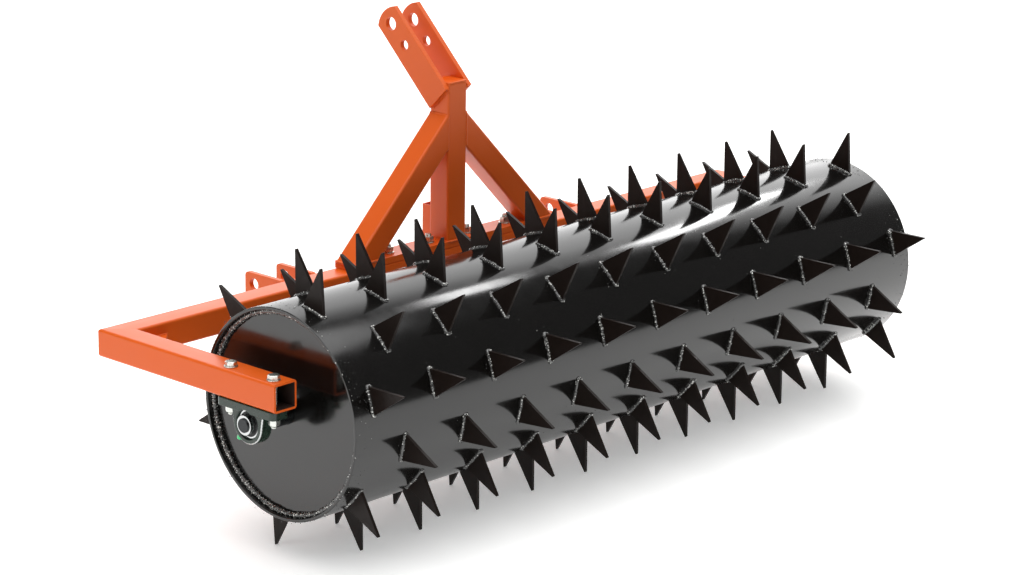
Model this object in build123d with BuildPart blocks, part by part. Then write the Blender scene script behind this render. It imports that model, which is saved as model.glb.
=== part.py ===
"""Three-point drum spike aerator: a spiked roller carried in a U-shaped frame with a headstock.

Millimetres. +X runs along the drum to the right, +Y is the direction of travel and +Z is up.
The origin is on the ground, under the middle of the machine. Every sketch plane below is placed
from the axle, so the offsets read as distances ahead of, above or beside the axle.
"""
from build123d import *
from math import cos, radians, sin, sqrt
import os

os.makedirs("parts", exist_ok=True)

# ---- Driving dimensions -------------------------------------------------------------------

# Drum
drum_length = 1524
drum_diameter = 372
shell_wall = 6
end_recess = 15              # shell rim to the end disc's outer face
disc_thickness = 8
inner_disc_depth = 190       # shell rim to the inner disc's outer face
disc_clearance = 0.2         # disc edge to shell bore, and shaft to disc hole

# Spikes
spike_rows = 12
spikes_in_long_row = 11      # the rows between hold one fewer, half a pitch across
first_spike_inset = 44.5     # shell rim to the middle of a long row's end spike
spike_height = 78            # above the shell
spike_base = 50
spike_thickness = 6
spike_nose_radius = 1.3
row_phase = 12.5             # degrees from straight ahead to the first row
weld_gap = 0.3

# Stub shafts
journal_diameter = 25
shaft_body_diameter = 38
shaft_overhang = 3           # past the bearing's inner race
shaft_chamfer = 1
shoulder_gap = 2.5           # between the inner race and the shaft's shoulder

# Frame tubes
tube = 50
tube_wall = 4
tube_corner = 5
drum_end_gap = 28            # drum rim to the arm's inner face
crossbar_ahead = 350         # axle to the crossbar's centre line
arm_past_foot = 4            # pillow block's foot to the arm's open rear end
gusset_leg = 64
gusset_thickness = 6

# Pillow blocks, 25 mm bore size
bearing_height = 36.5        # shaft centre to the foot's seat
foot_length = 140
foot_width = 38
foot_thickness = 15
foot_bolt_spacing = 105
web_depth = 8
web_to_washer = 1.5
boss_wall = 9                # seat of the outer race to the boss's outside
boss_width = 26
rim_chamfer = 2.5
race_outside = 52
outer_race_width = 17
outer_race_land = 22         # radius inside the outer race
inner_race_land = 17         # radius outside the inner race
inner_race_width = 34.1
inner_race_short_side = 14.3  # race centre to its inboard end
ball_diameter = 7.94
ball_count = 9
ball_clearance = 0.1
seat_clearance = 0.1
press_clearance = 0.02
cage_to_race = 1.3
cage_width = 10.4
seal_thickness = 1.2
seal_inset = 0.4
set_screw_diameter = 6
set_screw_key = 3
set_screw_key_depth = 1.5    # below the inner race's outside
set_screw_proud = 1
set_screw_from_end = 4.5
set_screw_angle = 62
nipple_angle = -45           # from straight ahead, so down and forward
nipple_thread = 6
nipple_spot_depth = 1.5      # spot face below the boss's outside
nipple_past_seat = 1         # stem's end to the outer race's seat
nipple_flats = 8
nipple_hex_height = 5
nipple_neck_diameter = 4.4
nipple_neck_height = 4
nipple_head_diameter = 6.4

# Lower hitch
hitch_spacing = 728          # between the centres of the two pairs of ears
ear_gap = 68
ear_thickness = 10
ear_reach = 100
ear_front_height = 46
ear_pin_hole = 22.5
pin_from_front = 24
pin_from_top = 21.5
ear_round = 8

# Headstock
base_plate_thickness = 12
mast_height = 321            # crossbar top to the mast's top
brace_foot = 238             # middle of the machine to the brace's centre line at its foot
mast_cap_thickness = 4
strap_width = 60
strap_thickness = 10
strap_length = 197           # square end to where the rounded end starts
strap_end_radius = 50
strap_angle = 45
strap_drop = 32              # mast top down to the middle of the strap's square end
strap_setback = 5.5          # mast centre back to the middle of the strap's square end
upper_pin_hole = 25.8
lower_pin_hole = 19.5
upper_pin_from_end = 178
pin_hole_step = 51
socket_outside = 30
socket_wall = 3
socket_corner = 4
socket_below = 48            # crossbar top down to the socket's lower end
socket_above = 72
headstock_bolts_at = (52, 160)

# Fasteners, M12
bolt_diameter = 12
bolt_clearance = 1
bolt_flats = 18
head_height = 7.5
nut_height = 10.4
washer_outside = 24
washer_thickness = 2.5
thread_past_nut = 5
thread_clearance = 0.05
hex_bevel = 1.2

# ---- Places worked out from them, as seen from the axle ------------------------------------

bolt_hole = bolt_diameter + bolt_clearance
drum_radius = drum_diameter / 2
drum_half = drum_length / 2
spike_tip_radius = drum_radius + spike_height
nose_centre = spike_tip_radius - spike_nose_radius
spike_pitch = (drum_length - 2 * first_spike_inset) / (spikes_in_long_row - 1)
row_angles = [row_phase + row * 360 / spike_rows for row in range(spike_rows)]

arm_x = drum_half + drum_end_gap + tube / 2
arm_tail = foot_length / 2 + arm_past_foot
frame_half = arm_x + tube / 2
bearing_x = frame_half - foot_width / 2        # its foot flush with the arm's outer face
crossbar_front = crossbar_ahead + tube / 2
crossbar_rear = crossbar_ahead - tube / 2
tube_bottom = bearing_height
tube_middle = tube_bottom + tube / 2
tube_top = tube_bottom + tube
plate_top = tube_top + base_plate_thickness
base_plate_length = 2 * (brace_foot + tube / sqrt(2))    # ends with the braces' feet
mast_top = tube_top + mast_height
boss_diameter = race_outside + 2 * boss_wall
web_length = foot_bolt_spacing - washer_outside - 2 * web_to_washer
long_side = inner_race_width - inner_race_short_side
cage_thickness = outer_race_land - inner_race_land - 2 * cage_to_race
foot_underside = tube_bottom - foot_thickness
ball_circle = (inner_race_land + outer_race_land) / 2

strap_foot_y = crossbar_ahead - strap_setback
strap_foot_z = mast_top - strap_drop
strap_sagitta = strap_end_radius - sqrt(strap_end_radius**2 - (strap_width / 2) ** 2)
strap_arc_centre = strap_length + strap_sagitta - strap_end_radius
hitch_front = strap_foot_y + strap_arc_centre * cos(radians(strap_angle)) + strap_end_radius


def spike_reach(direction):
    """How far the spikes reach from the axle in one direction, in degrees from straight ahead."""
    ahead = max(cos(radians(angle - direction)) for angle in row_angles)
    return nose_centre * ahead + spike_nose_radius


axle_z = spike_reach(270)
axle_y = (spike_reach(180) - hitch_front) / 2


# ---- Planes and small helpers ---------------------------------------------------------------

def across(x):
    """Plane facing +X at x, with its own x forward and its own y up, centred on the axle."""
    return Plane(origin=(x, axle_y, axle_z), x_dir=(0, 1, 0), z_dir=(1, 0, 0))


def facing_back(y):
    """Plane facing the rear, y ahead of the axle, with its own x to the right and its own y up."""
    return Plane(origin=(0, axle_y + y, axle_z), x_dir=(1, 0, 0), z_dir=(0, -1, 0))


def level(z):
    """Plane facing up, z above the axle."""
    return Plane(origin=(0, axle_y, axle_z + z))


def save(piece, name):
    """Label a finished piece and write it."""
    piece.part.label = name
    export_step(piece.part, f"parts/{name}.step")


def save_pair(right, name):
    """Write a right-hand piece, and its mirror image as the left-hand one."""
    with BuildPart() as left:
        mirror(right.part, about=Plane.YZ)
    save(right, f"right_{name}")
    save(left, f"left_{name}")


def tube_profile():
    """Square hollow section with rounded corners, at the current sketch location."""
    inside = tube - 2 * tube_wall
    RectangleRounded(tube, tube, tube_corner)
    RectangleRounded(inside, inside, tube_corner - tube_wall, mode=Mode.SUBTRACT)


def hexagon_block(height, bevel_below):
    """Hexagonal block standing on z = 0, with its corners bevelled at the top and maybe below."""
    corner = bolt_flats / sqrt(3)
    bevelled = corner - 2 * hex_bevel
    foot = [(bevelled, 0), (corner, hex_bevel)] if bevel_below else [(corner, 0)]
    crown = [(corner, height - hex_bevel), (bevelled, height)]
    with BuildPart() as block:
        with BuildSketch():
            RegularPolygon(bolt_flats / 2, 6, major_radius=False)
        extrude(amount=height)
        with BuildSketch(Plane.XZ):
            with BuildLine():
                Polyline((0, 0), *foot, *crown, (0, height), close=True)
            make_face()
        revolve(axis=Axis.Z, mode=Mode.INTERSECT)
    return block.part


def hex_bolt(grip):
    """Bolt with its head standing on z = 0 and its shank hanging down through the grip and a nut."""
    shank = grip + nut_height + thread_past_nut
    with BuildPart() as bolt:
        add(hexagon_block(head_height, bevel_below=False))
        with Locations((0, 0, -shank / 2)):
            Cylinder(bolt_diameter / 2, shank)
        chamfer(bolt.edges().group_by(Axis.Z)[0], hex_bevel)
    return bolt.part


def hex_nut():
    """Nut standing on z = 0."""
    with BuildPart() as nut:
        add(hexagon_block(nut_height, bevel_below=True))
        Cylinder(bolt_diameter / 2 + thread_clearance, 3 * nut_height, mode=Mode.SUBTRACT)
    return nut.part


def washer():
    """Flat washer standing on z = 0."""
    with BuildPart() as ring:
        with BuildSketch():
            Circle(washer_outside / 2)
            Circle(bolt_hole / 2, mode=Mode.SUBTRACT)
        extrude(amount=washer_thickness)
    return ring.part


def fastener_sets(places, seat_above, seat_below, name, head_up):
    """Bolts, washers and nuts clamping the stack between two levels, at (x, y) places."""
    places = [(x, axle_y + y) for x, y in places]
    grip = seat_above - seat_below + 2 * washer_thickness
    outer_above = axle_z + seat_above + washer_thickness
    outer_below = axle_z + seat_below - washer_thickness
    upright = (0, 0, 0)
    flipped = (180, 0, 0)
    head_z, head_turn = (outer_above, upright) if head_up else (outer_below, flipped)
    nut_z, nut_turn = (outer_below, flipped) if head_up else (outer_above, upright)
    with BuildPart() as bolts:
        with Locations(*[Location((x, y, head_z), head_turn) for x, y in places]):
            add(hex_bolt(grip))
    with BuildPart() as nuts:
        with Locations(*[Location((x, y, nut_z), nut_turn) for x, y in places]):
            add(hex_nut())
    with BuildPart() as washers:
        with Locations(*[(x, y, axle_z + seat_above) for x, y in places]):
            add(washer())
        with Locations(*[(x, y, outer_below) for x, y in places]):
            add(washer())
    save(bolts, f"{name}_bolts")
    save(nuts, f"{name}_nuts")
    save(washers, f"{name}_washers")


# ---- Frame tubes ----------------------------------------------------------------------------

headstock_bolt_places = [
    (side * x, crossbar_ahead) for side in (-1, 1) for x in headstock_bolts_at
]
foot_bolt_places = [
    (side * bearing_x, end * foot_bolt_spacing / 2) for side in (-1, 1) for end in (-1, 1)
]


def mitre(side):
    """Plane of the corner joint, facing outward and back; side is 1 on the right, -1 on the left."""
    corner = (side * frame_half, axle_y + crossbar_front, axle_z)
    return Plane(origin=corner, z_dir=(side, -1, 0))


with BuildPart() as crossbar:
    with BuildSketch(across(0)):
        with Locations((crossbar_ahead, tube_middle)):
            tube_profile()
    extrude(amount=frame_half, both=True)
    split(bisect_by=mitre(1), keep=Keep.BOTTOM)
    split(bisect_by=mitre(-1), keep=Keep.BOTTOM)
    with BuildSketch(level(tube_bottom)):
        with Locations(*headstock_bolt_places):
            Circle(bolt_hole / 2)
    extrude(amount=tube, mode=Mode.SUBTRACT)
save(crossbar, "crossbar")

with BuildPart() as arm:
    with BuildSketch(facing_back(crossbar_front)):
        with Locations((arm_x, tube_middle)):
            tube_profile()
    extrude(amount=crossbar_front + arm_tail)
    split(bisect_by=mitre(1), keep=Keep.TOP)
    with BuildSketch(level(tube_bottom)):
        with Locations(*foot_bolt_places):
            Circle(bolt_hole / 2)
    extrude(amount=tube, mode=Mode.SUBTRACT)
save_pair(arm, "arm")

with BuildPart() as gusset:
    inner_x = frame_half - tube
    with BuildSketch(level(tube_middle)):
        with BuildLine():
            Polyline(
                (inner_x, crossbar_rear),
                (inner_x - gusset_leg, crossbar_rear),
                (inner_x, crossbar_rear - gusset_leg),
                close=True,
            )
        make_face()
    extrude(amount=gusset_thickness / 2, both=True)
save_pair(gusset, "corner_gusset")


# ---- Lower hitch ears -----------------------------------------------------------------------

def hitch_ear(inner_face):
    """One lower hitch plate on the crossbar's front, its inner face at this x."""
    front = crossbar_front + ear_reach
    pin = (front - pin_from_front, tube_top - pin_from_top)
    with BuildPart() as ear:
        with BuildSketch(across(inner_face)) as outline:
            with BuildLine():
                Polyline(
                    (crossbar_front, tube_top),
                    (front, tube_top),
                    (front, tube_top - ear_front_height),
                    (front - ear_front_height / 2, tube_bottom),
                    (crossbar_front, tube_bottom),
                    close=True,
                )
            make_face()
            fillet(outline.vertices().group_by(Axis.Y)[-1], ear_round)
            with Locations(pin):
                Circle(ear_pin_hole / 2, mode=Mode.SUBTRACT)
        extrude(amount=ear_thickness)
    return ear


hitch_centre = hitch_spacing / 2
save_pair(hitch_ear(hitch_centre + ear_gap / 2), "outer_hitch_ear")
save_pair(hitch_ear(hitch_centre - ear_gap / 2 - ear_thickness), "inner_hitch_ear")


# ---- Headstock ------------------------------------------------------------------------------

with BuildPart() as base_plate:
    with BuildSketch(level(tube_top)):
        with Locations((0, crossbar_ahead)):
            Rectangle(base_plate_length, tube)
        with Locations(*headstock_bolt_places):
            Circle(bolt_hole / 2, mode=Mode.SUBTRACT)
    extrude(amount=base_plate_thickness)
save(base_plate, "headstock_base_plate")

with BuildPart() as mast:
    with BuildSketch(level(plate_top)):
        with Locations((0, crossbar_ahead)):
            tube_profile()
    extrude(amount=mast_top - mast_cap_thickness - plate_top)
save(mast, "mast")

with BuildPart() as mast_cap:
    with BuildSketch(level(mast_top)):
        with Locations((0, crossbar_ahead)):
            RectangleRounded(tube, tube, tube_corner)
    extrude(amount=-mast_cap_thickness)
save(mast_cap, "mast_cap")

with BuildPart() as brace:
    run = brace_foot - tube / 2
    below_foot = Plane(
        origin=(brace_foot + tube, axle_y + crossbar_ahead, axle_z + plate_top - tube),
        x_dir=(0, 1, 0),
        z_dir=(-1, 0, 1),
    )
    with BuildSketch(below_foot):
        tube_profile()
    extrude(amount=(run + 2 * tube) * sqrt(2))
    split(bisect_by=level(plate_top), keep=Keep.TOP)
    split(bisect_by=across(tube / 2), keep=Keep.TOP)
save_pair(brace, "brace")

with BuildPart() as strap:
    along = (0, cos(radians(strap_angle)), sin(radians(strap_angle)))
    foot = (tube / 2, axle_y + strap_foot_y, axle_z + strap_foot_z)
    half = strap_width / 2
    with BuildSketch(Plane(origin=foot, x_dir=along, z_dir=(1, 0, 0))):
        with BuildLine():
            Polyline((strap_length, -half), (0, -half), (0, half), (strap_length, half))
            ThreePointArc(
                (strap_length, half), (strap_length + strap_sagitta, 0), (strap_length, -half)
            )
        make_face()
        with Locations((upper_pin_from_end, 0)):
            Circle(upper_pin_hole / 2, mode=Mode.SUBTRACT)
        with Locations((upper_pin_from_end - pin_hole_step, 0)):
            Circle(lower_pin_hole / 2, mode=Mode.SUBTRACT)
    extrude(amount=strap_thickness)
save_pair(strap, "top_link_strap")

with BuildPart() as stand_socket:
    socket_inside = socket_outside - 2 * socket_wall
    with BuildSketch(level(tube_top - socket_below)):
        with Locations((0, crossbar_front + socket_outside / 2)):
            RectangleRounded(socket_outside, socket_outside, socket_corner)
            RectangleRounded(
                socket_inside, socket_inside, socket_corner - socket_wall, mode=Mode.SUBTRACT
            )
    extrude(amount=socket_below + socket_above)
save(stand_socket, "stand_socket")

fastener_sets(headstock_bolt_places, plate_top, tube_bottom, "headstock", head_up=False)


# ---- Pillow blocks and their bearings ---------------------------------------------------------

race_seat = race_outside / 2 + seat_clearance
nipple_axis = (0, cos(radians(nipple_angle)), sin(radians(nipple_angle)))
nipple_seat = boss_diameter / 2 - nipple_spot_depth
nipple_stem_end = race_seat + nipple_past_seat
bearing_plane = across(bearing_x)


def from_bearing(radius):
    """Plane across the nipple's axis, this far out from the bearing's centre."""
    reach = [step * radius for step in nipple_axis]
    origin = (bearing_x, axle_y + reach[1], axle_z + reach[2])
    return Plane(origin=origin, x_dir=(1, 0, 0), z_dir=nipple_axis)


with BuildPart() as housing:
    with BuildSketch(bearing_plane):
        Circle(boss_diameter / 2)
        with Locations((0, foot_underside + web_depth / 2)):
            Rectangle(web_length, web_depth)
        make_hull()
    extrude(amount=boss_width / 2, both=True)
    with BuildSketch(level(tube_bottom)):
        with Locations((bearing_x, 0)):
            RectangleRounded(foot_width, foot_length, foot_width / 4)
    extrude(amount=-foot_thickness)
    rims = housing.edges().filter_by(GeomType.CIRCLE).filter_by(
        lambda edge: abs(edge.radius - boss_diameter / 2) < 0.01
    )
    chamfer(rims, rim_chamfer)
    with BuildSketch(level(tube_bottom)):
        with Locations(*foot_bolt_places):
            Circle(bolt_hole / 2)
    extrude(amount=-foot_thickness, mode=Mode.SUBTRACT)
    with Locations(bearing_plane.location):
        Sphere(race_seat, mode=Mode.SUBTRACT)
    for end in (-1, 1):
        with BuildSketch(across(bearing_x + end * outer_race_width / 2)):
            Circle(race_seat)
        extrude(amount=end * boss_width, mode=Mode.SUBTRACT)
    with BuildSketch(from_bearing(nipple_seat)):
        Circle(nipple_flats / 2 + nipple_spot_depth)
    extrude(amount=boss_diameter, mode=Mode.SUBTRACT)
    with BuildSketch(from_bearing(0)):
        Circle(nipple_thread / 2 + thread_clearance)
    extrude(amount=boss_diameter, mode=Mode.SUBTRACT)
save_pair(housing, "bearing_housing")

with BuildPart() as nipple:
    hex_top = nipple_seat + nipple_hex_height
    neck_top = hex_top + nipple_neck_height
    with BuildSketch(from_bearing(nipple_stem_end)):
        Circle(nipple_thread / 2)
    extrude(amount=nipple_seat - nipple_stem_end)
    with BuildSketch(from_bearing(nipple_seat)):
        RegularPolygon(nipple_flats / 2, 6, major_radius=False)
    extrude(amount=nipple_hex_height)
    with BuildSketch(from_bearing(hex_top)):
        Circle(nipple_neck_diameter / 2)
    extrude(amount=nipple_neck_height)
    with Locations(from_bearing(neck_top).location):
        Sphere(nipple_head_diameter / 2)
save_pair(nipple, "grease_nipple")


def ball_track():
    """Torus-shaped room for the balls, centred on the right bearing."""
    turning = Plane(origin=(bearing_x, axle_y, axle_z), x_dir=(1, 0, 0), z_dir=(0, -1, 0))
    with BuildPart() as track:
        with BuildSketch(turning):
            with Locations((0, ball_circle)):
                Circle(ball_diameter / 2 + ball_clearance)
        revolve(axis=Axis((bearing_x, axle_y, axle_z), (1, 0, 0)))
    return track.part


def ball_places():
    """Centres of the balls round the right bearing."""
    places = []
    for ball in range(ball_count):
        angle = radians(ball * 360 / ball_count)
        y = axle_y + ball_circle * cos(angle)
        z = axle_z + ball_circle * sin(angle)
        places.append((bearing_x, y, z))
    return places


half_race = outer_race_width / 2
with BuildPart() as outer_race:
    with Locations(bearing_plane.location):
        Sphere(race_outside / 2)
    with BuildSketch(across(bearing_x - half_race)):
        Circle(race_outside)
    extrude(amount=outer_race_width, mode=Mode.INTERSECT)
    with BuildSketch(across(bearing_x - half_race)):
        Circle(outer_race_land)
    extrude(amount=outer_race_width, mode=Mode.SUBTRACT)
    add(ball_track(), mode=Mode.SUBTRACT)
save_pair(outer_race, "outer_race")

race_bore = journal_diameter / 2 + press_clearance
set_screw_angles = (90 - set_screw_angle / 2, 90 + set_screw_angle / 2)


def beside_shaft(angle, radius):
    """Plane facing away from the shaft at the set screws, at this angle and radius."""
    outward = (0, cos(radians(angle)), sin(radians(angle)))
    screw_x = bearing_x + long_side - set_screw_from_end
    origin = (screw_x, axle_y + radius * outward[1], axle_z + radius * outward[2])
    return Plane(origin=origin, x_dir=(1, 0, 0), z_dir=outward)


with BuildPart() as inner_race:
    with BuildSketch(across(bearing_x - inner_race_short_side)):
        Circle(inner_race_land)
        Circle(race_bore, mode=Mode.SUBTRACT)
    extrude(amount=inner_race_width)
    add(ball_track(), mode=Mode.SUBTRACT)
    for angle in set_screw_angles:
        with BuildSketch(beside_shaft(angle, 0)):
            Circle(set_screw_diameter / 2 + thread_clearance)
        extrude(amount=boss_diameter, mode=Mode.SUBTRACT)
save_pair(inner_race, "inner_race")

with BuildPart() as set_screws:
    for angle in set_screw_angles:
        with BuildSketch(beside_shaft(angle, race_bore)):
            Circle(set_screw_diameter / 2)
        extrude(amount=inner_race_land - race_bore + set_screw_proud)
        with BuildSketch(beside_shaft(angle, inner_race_land - set_screw_key_depth)):
            RegularPolygon(set_screw_key / 2, 6, major_radius=False)
        extrude(amount=boss_diameter, mode=Mode.SUBTRACT)
save_pair(set_screws, "set_screws")

with BuildPart() as ball_set:
    with Locations(*ball_places()):
        Sphere(ball_diameter / 2)
save_pair(ball_set, "ball_set")

with BuildPart() as ball_cage:
    with BuildSketch(across(bearing_x - cage_width / 2)):
        Circle(ball_circle + cage_thickness / 2)
        Circle(ball_circle - cage_thickness / 2, mode=Mode.SUBTRACT)
    extrude(amount=cage_width)
    with Locations(*ball_places()):
        Sphere(ball_diameter / 2 + ball_clearance, mode=Mode.SUBTRACT)
save_pair(ball_cage, "ball_cage")

with BuildPart() as seals:
    for face in (half_race - seal_inset, seal_inset + seal_thickness - half_race):
        with BuildSketch(across(bearing_x + face)):
            Circle(outer_race_land - press_clearance)
            Circle(inner_race_land + seat_clearance, mode=Mode.SUBTRACT)
        extrude(amount=-seal_thickness)
save_pair(seals, "bearing_seals")

fastener_sets(foot_bolt_places, tube_top, foot_underside, "bearing", head_up=True)


# ---- Drum -------------------------------------------------------------------------------------

shell_bore = drum_radius - shell_wall
with BuildPart() as drum_shell:
    with BuildSketch(across(0)):
        Circle(drum_radius)
        Circle(shell_bore, mode=Mode.SUBTRACT)
    extrude(amount=drum_half, both=True)
save(drum_shell, "drum_shell")


def drum_disc(depth):
    """Disc inside the right-hand end of the shell, its outer face this deep."""
    with BuildPart() as disc:
        with BuildSketch(across(drum_half - depth)):
            Circle(shell_bore - disc_clearance)
            Circle(shaft_body_diameter / 2 + disc_clearance, mode=Mode.SUBTRACT)
        extrude(amount=-disc_thickness)
    return disc


save_pair(drum_disc(end_recess), "end_disc")
save_pair(drum_disc(inner_disc_depth), "inner_disc")

with BuildPart() as stub_shaft:
    shaft_end = bearing_x + long_side + shaft_overhang
    shoulder = bearing_x - inner_race_short_side - shoulder_gap
    body_end = drum_half - inner_disc_depth - 2 * disc_thickness
    with BuildSketch(across(body_end)):
        Circle(shaft_body_diameter / 2)
    extrude(amount=shoulder - body_end)
    with BuildSketch(across(shoulder)):
        Circle(journal_diameter / 2)
    extrude(amount=shaft_end - shoulder)
    chamfer(stub_shaft.faces().sort_by(Axis.X)[-1].edges(), shaft_chamfer)
save_pair(stub_shaft, "stub_shaft")


# ---- Spikes -----------------------------------------------------------------------------------

with BuildPart() as spike:
    root_radius = drum_radius + weld_gap
    chord = sqrt(root_radius**2 - (spike_base / 2) ** 2)
    with BuildSketch(Plane.YZ):
        with Locations((chord, 0)):
            Rectangle(2 * weld_gap, spike_base)
        with Locations((nose_centre, 0)):
            Circle(spike_nose_radius)
        make_hull()
        Circle(root_radius, mode=Mode.SUBTRACT)
    extrude(amount=spike_thickness / 2, both=True)

for row, angle in enumerate(row_angles):
    count = spikes_in_long_row - 1 + row % 2
    places = [
        Location(((index - (count - 1) / 2) * spike_pitch, axle_y, axle_z), (angle, 0, 0))
        for index in range(count)
    ]
    with BuildPart() as spike_row:
        with Locations(*places):
            add(spike.part)
    save(spike_row, f"spike_row_{row + 1:02d}")
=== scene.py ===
"""Finish and fine detail for a three-point drum spike aerator.

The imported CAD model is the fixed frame. Each operator makes one group of like pieces on it: painted
steel with its edges rounded, weld beads, plated fasteners, castings and the studio round them.
Metres throughout. The drum lies along X, +Y is the direction of travel and +Z is up.
"""
from math import atan2, cos, hypot, pi, radians, sin, sqrt

import bmesh
import bpy
from bpy.props import FloatProperty, FloatVectorProperty, PointerProperty
from mathutils import Euler, Matrix, Vector


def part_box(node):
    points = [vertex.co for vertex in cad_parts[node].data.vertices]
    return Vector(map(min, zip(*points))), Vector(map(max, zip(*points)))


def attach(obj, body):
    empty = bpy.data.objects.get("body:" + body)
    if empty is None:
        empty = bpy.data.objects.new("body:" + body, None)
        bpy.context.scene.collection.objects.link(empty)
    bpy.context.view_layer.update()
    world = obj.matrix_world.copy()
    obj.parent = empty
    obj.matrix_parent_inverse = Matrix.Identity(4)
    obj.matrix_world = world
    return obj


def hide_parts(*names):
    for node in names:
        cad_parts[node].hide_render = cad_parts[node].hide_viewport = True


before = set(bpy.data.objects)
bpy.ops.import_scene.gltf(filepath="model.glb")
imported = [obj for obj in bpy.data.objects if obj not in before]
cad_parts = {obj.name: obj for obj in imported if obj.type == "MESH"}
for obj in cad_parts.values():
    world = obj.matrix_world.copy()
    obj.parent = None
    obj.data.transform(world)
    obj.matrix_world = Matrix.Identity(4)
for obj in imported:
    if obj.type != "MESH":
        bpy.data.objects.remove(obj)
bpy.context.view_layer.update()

bl_info = {
    "name": "Drum spike aerator",
    "version": (1, 0, 0),
    "blender": (4, 5, 0),
    "location": "3D View > Sidebar > Aerator",
    "description": "Paint, weld beads, fasteners and castings for the aerator's CAD frame",
    "category": "Object",
}

MM = 0.001
SIDES = {"left": -1, "right": 1}

# ---- Places read from the frame ---------------------------------------------------------------

shell_low, shell_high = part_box("drum_shell")
axle = (shell_low + shell_high) / 2
drum_radius = (shell_high.z - shell_low.z) / 2
drum_half = shell_high.x
spike_rows = sorted(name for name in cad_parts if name.startswith("spike_row_"))


def node_points(node):
    """The corners of a CAD node's mesh."""
    return [vertex.co.copy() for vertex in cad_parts[node].data.vertices]


def at_angle(x, radius, angle):
    """Point this far from the axle, with the angle measured upward from straight ahead."""
    return Vector((x, axle.y + radius * cos(angle), axle.z + radius * sin(angle)))


def spike_stations(row):
    """Angle round the drum of a row of spikes, and the two faces of each of its plates along X."""
    points = node_points(row)
    middle = sum(points, Vector()) / len(points)
    angle = atan2(middle.z - axle.z, middle.y - axle.y)
    faces = sorted({round(point.x, 5) for point in points})
    return angle, list(zip(faces[0::2], faces[1::2]))


# ---- Colour, nodes and settings -----------------------------------------------------------------

def linear(hex_colour):
    """Linear RGB from an sRGB hex value."""
    parts = [int(hex_colour[i:i + 2], 16) / 255 for i in (1, 3, 5)]
    return tuple(p / 12.92 if p <= 0.04045 else ((p + 0.055) / 1.055) ** 2.4 for p in parts)


def put(tree, kind, inputs=None, **settings):
    """Add a node, give it its settings, and fill its inputs. A node stands for its first output."""
    node = tree.nodes.new(kind)
    for name, value in settings.items():
        setattr(node, name, value)
    for key, value in (inputs or {}).items():
        if isinstance(value, bpy.types.Node):
            value = value.outputs[0]
        if isinstance(value, bpy.types.NodeSocket):
            tree.links.new(value, node.inputs[key])
        else:
            node.inputs[key].default_value = value
    return node


def colour(name, description, hex_colour):
    """A colour the user can change."""
    return FloatVectorProperty(
        name=name, description=description, default=linear(hex_colour),
        subtype="COLOR", size=3, min=0, max=1,
    )


def length(name, description, millimetres):
    """A length the user can change."""
    return FloatProperty(
        name=name, description=description, default=millimetres * MM,
        subtype="DISTANCE", unit="LENGTH", min=0, precision=4,
    )


class AeratorPaint(bpy.types.PropertyGroup):
    """Colours of the finishes."""

    orange: colour("Frame orange", "Powder coat on the frame", "#d95b17")
    black: colour("Drum black", "Gloss enamel on the drum", "#0d0c0b")
    spike: colour("Spike black", "Enamel on the spikes", "#1c1512")
    # The weld grey is lighter than the drum's black to paint glints on the beads.
    weld: colour("Weld", "Rubbed enamel on the drum's weld beads", "#30302e")
    zinc: colour("Zinc", "Bright plating on the bolts", "#d5d8d2")
    casting: colour("Casting green", "Enamel on the bearing housings", "#15291e")
    steel: colour("Bearing steel", "Ground races and balls", "#c4c6c6")
    shaft: colour("Shaft steel", "Turned shaft ends", "#3c3e3f")
    rubber: colour("Seal rubber", "Bearing seals", "#121212")
    floor: colour("Floor", "Matt studio floor", "#f7f7f6")


class AeratorSteel(bpy.types.PropertyGroup):
    """Edge rounding and bead sizes of the steelwork."""

    plate_edge: length("Plate edge", "Rounding of cut plate and tube under the paint", 0.9)
    spike_edge: length("Spike edge", "Rounding of the spikes' cut edges", 0.7)
    rim_edge: length("Rim edge", "Rounding of the drum's rim", 1.4)
    casting_cell: length("Casting cell", "Detail kept by the housings' casting", 0.9)
    frame_bead: length("Frame bead", "Weld bead width on the frame", 5)
    spike_bead: length("Spike bead", "Weld bead width at the spikes' roots", 7.5)
    drum_bead: length("Drum bead", "Weld bead width inside the drum's rims", 10)
    ripple: length("Ripple", "Spacing of the ripples along a weld bead", 4.2)
    spatter: length("Spatter", "Largest drop of weld spatter", 2.2)


class AeratorFasteners(bpy.types.PropertyGroup):
    """Sizes of the M12 bolts, nuts and washers."""

    flats: length("Across flats", "Across the flats of heads and nuts", 18)
    shank: length("Shank", "Bolt diameter over the thread", 12)
    pitch: length("Thread pitch", "Advance of the thread in one turn", 1.75)
    hole: length("Washer hole", "Bore of the washers", 13)


class AeratorStudio(bpy.types.PropertyGroup):
    """Camera and lights."""

    camera_place: FloatVectorProperty(
        name="Camera place", description="Where the camera stands", subtype="TRANSLATION",
        unit="LENGTH", size=3, default=axle + Vector((-4.1117, -3.6482, 1.6422)),
    )
    heading: FloatProperty(
        name="Heading", description="Turn from straight ahead toward the right",
        subtype="ANGLE", default=radians(47.023),
    )
    tilt: FloatProperty(
        name="Tilt", description="Look down", subtype="ANGLE", default=radians(15.979)
    )
    roll: FloatProperty(
        name="Roll", description="Camera roll", subtype="ANGLE", default=radians(0.8045)
    )
    lens: FloatProperty(
        name="Lens", description="Focal length on a 36 mm sensor", default=109.265,
        subtype="DISTANCE_CAMERA",
    )
    overhead: FloatProperty(name="Overhead", description="Strength of the soft top light", default=2.9)
    left: FloatProperty(name="Left", description="Power of the left softbox", default=34)
    backdrop: FloatProperty(name="Backdrop", description="Brightness behind the machine", default=2.0)
    strip: FloatProperty(name="Strip", description="Power of the strip light past the right end", default=48)
    spot: FloatProperty(name="Spot", description="Power of the small lamp above the left end", default=9)
    glow: FloatProperty(name="Floor glow", description="Light from under the floor panel", default=0.28)
    room: FloatProperty(name="Room", description="Brightness of the room behind the camera", default=0.11)


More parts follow.
